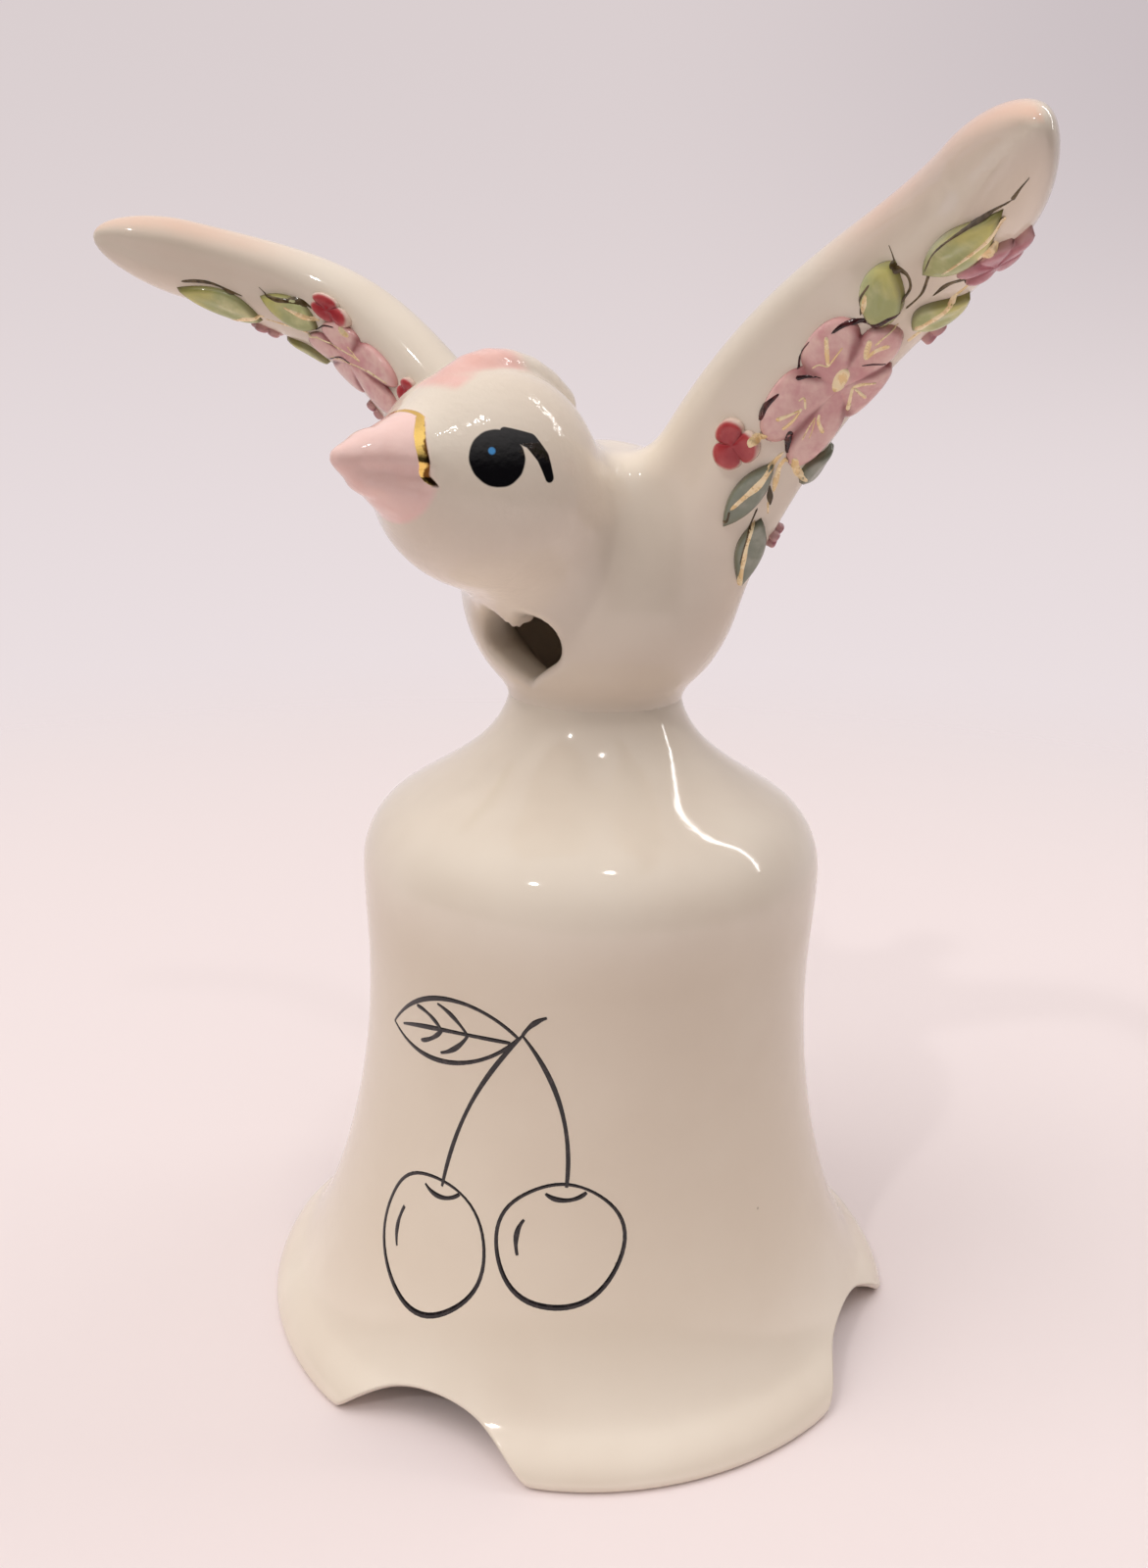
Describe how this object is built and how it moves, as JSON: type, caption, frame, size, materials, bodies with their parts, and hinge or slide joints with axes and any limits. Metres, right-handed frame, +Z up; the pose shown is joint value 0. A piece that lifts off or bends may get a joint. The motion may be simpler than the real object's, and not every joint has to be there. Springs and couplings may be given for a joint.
{
  "type": "pie bird",
  "caption": "Glazed ceramic pie funnel: a hollow bell with an arched foot carries a winged bird with a heart-shaped steam vent and applied flower sprays.",
  "frame": {"origin": "on the bell's axis at the level of the table it stands on", "axes": "+Z up the bell's axis, -Y the way the bird looks, +X towards the bird's left wing"},
  "size_m": [0.1018, 0.0716, 0.1182],
  "materials": {
    "cream_glaze": "clear glossy glaze over a cream body",
    "pink_glaze": "glossy pink underglaze",
    "rose_sprig": "glossy rose with gold strokes",
    "crimson_sprig": "glossy crimson with a gold dab",
    "mauve_sprig": "glossy mauve",
    "leaf_sprig": "glossy olive green with gold strokes"
  },
  "bodies": {
    "root": {"bell_base": "cream_glaze", "bird_body": "cream_glaze", "bird_head": "cream_glaze", "beak": "pink_glaze", "crest": "pink_glaze", "tail": "cream_glaze", "left_wing": "cream_glaze", "right_wing": "cream_glaze", "left_large_blossom": "rose_sprig", "right_large_blossom": "rose_sprig", "left_red_blossom_1": "crimson_sprig", "left_mauve_blossom_1": "mauve_sprig", "left_mauve_blossom_2": "mauve_sprig", "left_mauve_blossom_3": "mauve_sprig", "left_leaf_1": "leaf_sprig", "left_leaf_2": "leaf_sprig", "left_leaf_3": "leaf_sprig", "left_leaf_4": "leaf_sprig", "left_leaf_5": "leaf_sprig", "left_leaf_6": "leaf_sprig", "right_red_blossom_1": "crimson_sprig", "right_red_blossom_2": "crimson_sprig", "right_mauve_blossom_1": "mauve_sprig", "right_mauve_blossom_2": "mauve_sprig", "right_leaf_1": "leaf_sprig", "right_leaf_2": "leaf_sprig", "right_leaf_3": "leaf_sprig", "right_leaf_4": "leaf_sprig", "right_leaf_5": "leaf_sprig", "right_leaf_6": "leaf_sprig"}
  },
  "joints": []
}
